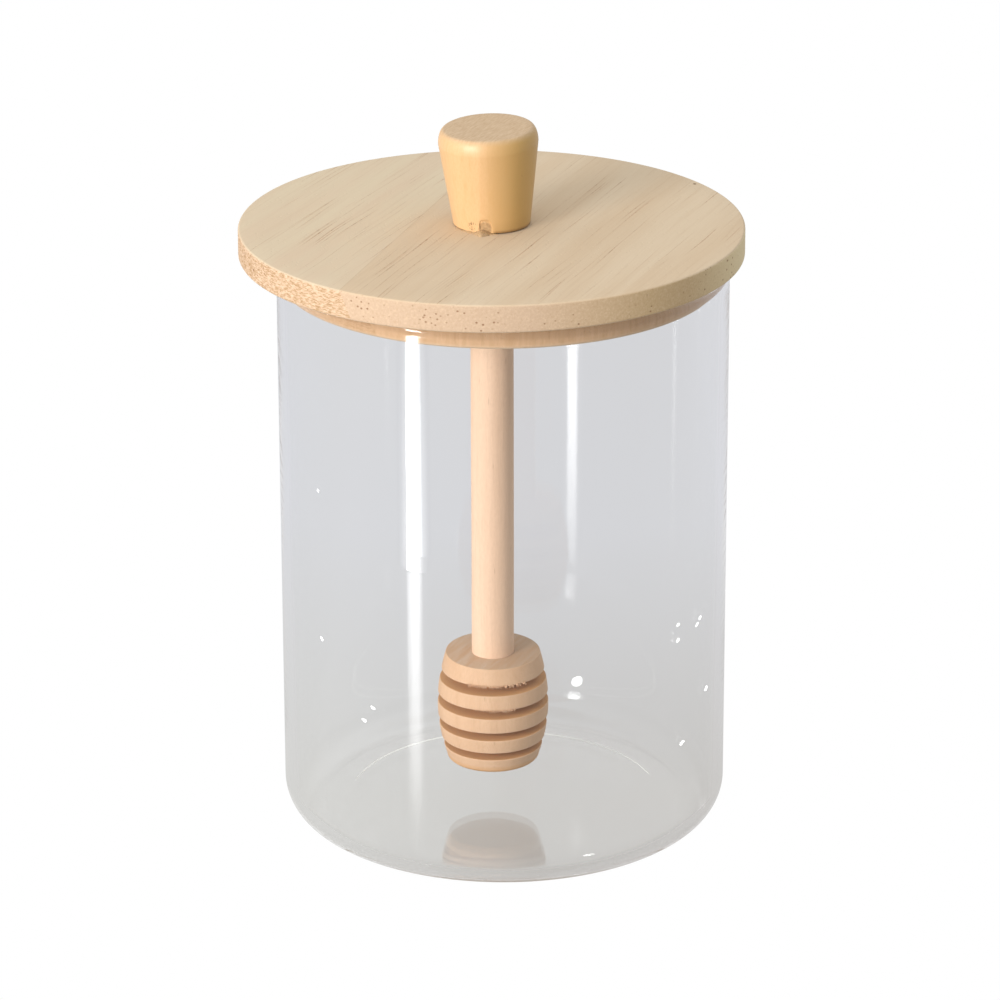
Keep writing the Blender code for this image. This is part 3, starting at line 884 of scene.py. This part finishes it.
def pale_wood(name, pale, middle, dark, end_grain, core=None):
    """Pale turned wood with upright grain and short brown flecks, greyer on its end grain, with painted
    shade on the end grain's right and, if given a core, in the grooves.
    """
    made, tree, shader = new_finish(name)
    source = put(tree, "ShaderNodeTexCoord")
    place = source.outputs["Object"]
    spot = put(tree, "ShaderNodeSeparateXYZ", {0: place})
    bands = mottle(tree, stretched(tree, place, 0.004, 0.008, 0.200), 2.0)
    streaks = mottle(tree, stretched(tree, place, 0.0006, 0.0006, 0.012), 3.0, 0.6)
    fibres = mottle(tree, stretched(tree, place, 0.00025, 0.00025, 0.0010), 3.0, 0.7)
    colour = blended(tree, spread(tree, bands, 0.35, 0.65), pale, middle)
    colour = blended(tree, spread(tree, streaks, 0.50, 0.80, 0.0, 0.32), colour, dark)
    colour = blended(tree, spread(tree, fibres, 0.42, 0.66, 0.0, 0.26), colour, dark)
    flecks = pores(tree, stretched(tree, place, 0.0010, 0.0010, 0.008), 0.13, 0.5)
    colour = blended(tree, reckoned(tree, "MULTIPLY", flecks, 0.45), colour, (0.42, 0.25, 0.14, 1))
    up = put(tree, "ShaderNodeSeparateXYZ", {0: source.outputs["Normal"]}).outputs["Z"]
    on_end = spread(tree, reckoned(tree, "ABSOLUTE", up), 0.8, 0.97)
    ring_space = stretched(tree, place, 0.0012, 0.010, 0.01, radians(-25))
    year_rings = spread(tree, mottle(tree, ring_space, 3.0), 0.35, 0.65, 0.0, 0.7)
    end_colour = blended(tree, year_rings, end_grain, dark)
    # Painted shade: the end grain darker towards the right, its shaded side.
    right_end_painted_shade = spread(tree, spot.outputs["X"], -0.002, 0.008, 0.0, 0.5)
    end_colour = blended(tree, right_end_painted_shade, end_colour, (0.42, 0.29, 0.19, 1))
    colour = blended(tree, on_end, colour, end_colour)
    # Partly the tool's burnish, partly painted shade: the core in the grooves, the groove walls and the
    # bottom face are darker and more orange.
    if core:
        core_radius, core_top, groove_shade_colour = core
        level_place = put(tree, "ShaderNodeVectorMath", {0: place, 1: (1, 1, 0)}, operation="MULTIPLY")
        off_axis = {0: level_place.outputs[0]}
        radius = put(tree, "ShaderNodeVectorMath", off_axis, operation="LENGTH").outputs["Value"]
        deep = spread(tree, radius, core_radius, core_radius + 0.0004, 1.0, 0.0)
        below_top = spread(tree, spot.outputs["Z"], *core_top, 1.0, 0.0)
        inside = reckoned(tree, "MULTIPLY", reckoned(tree, "MAXIMUM", deep, on_end), below_top)
        colour = blended(tree, inside, colour, groove_shade_colour)
    tree.links.new(colour, shader.inputs["Base Color"])
    tree.links.new(spread(tree, fibres, 0.3, 0.7, 0.55, 0.70), shader.inputs["Roughness"])
    shader.inputs["Specular IOR Level"].default_value = 0.1
    height = reckoned(tree, "SUBTRACT", fibres, reckoned(tree, "MULTIPLY", flecks, 0.8))
    relief = put(tree, "ShaderNodeBump", {"Height": height, "Strength": 0.5, "Distance": 0.00008})
    tree.links.new(relief.outputs[0], shader.inputs["Normal"])
    return made


dowel_wood = pale_wood(
    "dowel_wood", (0.86, 0.645, 0.485, 1), (0.80, 0.578, 0.418, 1), (0.60, 0.40, 0.26, 1),
    (0.60, 0.44, 0.30, 1)
)
rod = turned("dipper_dowel", rod_outline(), ROD_SIDES, dowel_wood)
wooden.objects.link(rod)
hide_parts("dipper_rod")


# Dipper head: a barrel of pale beech with four grooves turned down to a thin core.
# The turning tool left fuzzy torn fibres along the lower edges of the upper bands.
HEAD_BANDS = (0.00355, 0.00330, 0.00350, 0.00345, 0.00375)
HEAD_GROOVES = (0.00185, 0.00190, 0.00205, 0.00210)
HEAD_BELLY_RADIUS = 0.0126
HEAD_BELLY_HEIGHT = 0.0136
HEAD_TOP_RADIUS = 0.0107
HEAD_CORE_RADIUS = 0.0070
HEAD_BAND_EDGE = 0.0002
HEAD_BOTTOM_ROUND = 0.0012
HEAD_SOCKET_DEPTH = 0.0050
HEAD_SOCKET_RADIUS = 0.00485
HEAD_TOP_RAISE = 0.00035
HEAD_TOP_LEAN = 0.025
HEAD_SIDES = 192
TORN_EDGES = ((4, -118, -50, 90), (3, -110, -66, 60))

head_low, head_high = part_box("dipper_head")
HEAD_HEIGHT = head_high.z - head_low.z


def barrel_radius(height):
    """The radius of the head's barrel at a height above its bottom."""
    fall = (HEAD_BELLY_RADIUS - HEAD_TOP_RADIUS) / (HEAD_HEIGHT - HEAD_BELLY_HEIGHT) ** 2
    return HEAD_BELLY_RADIUS - fall * (height - HEAD_BELLY_HEIGHT) ** 2


def head_outline():
    """Up round the bottom, in and out of each groove, then down the socket for the dowel."""
    round_edge = barrel_radius(HEAD_BOTTOM_ROUND) - HEAD_BOTTOM_ROUND
    points = [(0, 0), *arc(round_edge, HEAD_BOTTOM_ROUND, HEAD_BOTTOM_ROUND, -90, 0, 8)]
    height = 0
    for number, band in enumerate(HEAD_BANDS):
        top = height + band
        if number > 0:
            lower = barrel_radius(height + HEAD_BAND_EDGE) - HEAD_BAND_EDGE
            points += arc(lower, height + HEAD_BAND_EDGE, HEAD_BAND_EDGE, -90, 0, 4)
        bottom = points[-1][1]
        face_steps = 8
        for step in range(1, face_steps):
            level = bottom + (top - HEAD_BAND_EDGE - bottom) * step / face_steps
            points.append((barrel_radius(level), level))
        upper = barrel_radius(top - HEAD_BAND_EDGE) - HEAD_BAND_EDGE
        points += arc(upper, top - HEAD_BAND_EDGE, HEAD_BAND_EDGE, 0, 90, 4)
        height = top
        if number < len(HEAD_GROOVES):
            points.append((HEAD_CORE_RADIUS, height))
            height += HEAD_GROOVES[number]
            points.append((HEAD_CORE_RADIUS, height))
    socket_floor = HEAD_HEIGHT - HEAD_SOCKET_DEPTH
    points += [(HEAD_SOCKET_RADIUS, HEAD_HEIGHT), (HEAD_SOCKET_RADIUS, socket_floor), (0, socket_floor)]
    return [(radius, head_low.z + level) for radius, level in points]


def head_point(point, angle):
    """Raises the top of the top band a little, more at the back, as it was sawn by hand."""
    above = (point.z - head_high.z + HEAD_BANDS[-1]) / HEAD_BANDS[-1]
    if above > 0:
        point.z += min(1, above) * (HEAD_TOP_RAISE + HEAD_TOP_LEAN * point.y)
    return point


# The last entry darkens the grooves and the bottom: partly the tool's burnish, partly painted shade.
head_wood = pale_wood(
    "head_wood", (0.71, 0.490, 0.325, 1), (0.66, 0.440, 0.280, 1), (0.52, 0.32, 0.18, 1),
    (0.57, 0.44, 0.325, 1),
    (HEAD_CORE_RADIUS + 0.0033, (head_high.z - 0.0018, head_high.z - 0.0014), (0.60, 0.335, 0.145, 1))
)
head = turned("dipper_barrel", head_outline(), HEAD_SIDES, head_wood, head_point)
wooden.objects.link(head)
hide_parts("dipper_head")


def torn_fibres():
    """Short slivers of wood along the lower front edges of the two upper bands, each by chance."""
    shape = bmesh.new()
    chance = Random(5)
    for band, start, end, count in TORN_EDGES:
        edge = head_low.z + sum(HEAD_BANDS[:band]) + sum(HEAD_GROOVES[:band])
        radius = barrel_radius(edge - head_low.z) - 0.00012
        for _ in range(count):
            angle = radians(chance.uniform(start, end))
            out = Vector((cos(angle), sin(angle), 0))
            sideways = Vector((-out.y, out.x, 0)) * chance.uniform(0.00009, 0.00020)
            root = out * radius + Vector((0, 0, edge + chance.uniform(0.00006, 0.00030)))
            fall = Vector((0, 0, -chance.uniform(0.00025, 0.00080)))
            tip = root + fall + out * chance.uniform(0.00010, 0.00045) + sideways * chance.uniform(-2, 2)
            foot = [root - sideways, root + sideways, root + Vector((0, 0, 0.00020)) + out * 0.00020]
            corners = [shape.verts.new(point) for point in (*foot, tip)]
            for first, second, third in ((0, 1, 2), (0, 1, 3), (1, 2, 3), (2, 0, 3)):
                shape.faces.new([corners[first], corners[second], corners[third]])
    bmesh.ops.recalc_face_normals(shape, faces=shape.faces)
    return shape


torn = finished("torn_fibres", torn_fibres(), head_wood)
wooden.objects.link(torn)
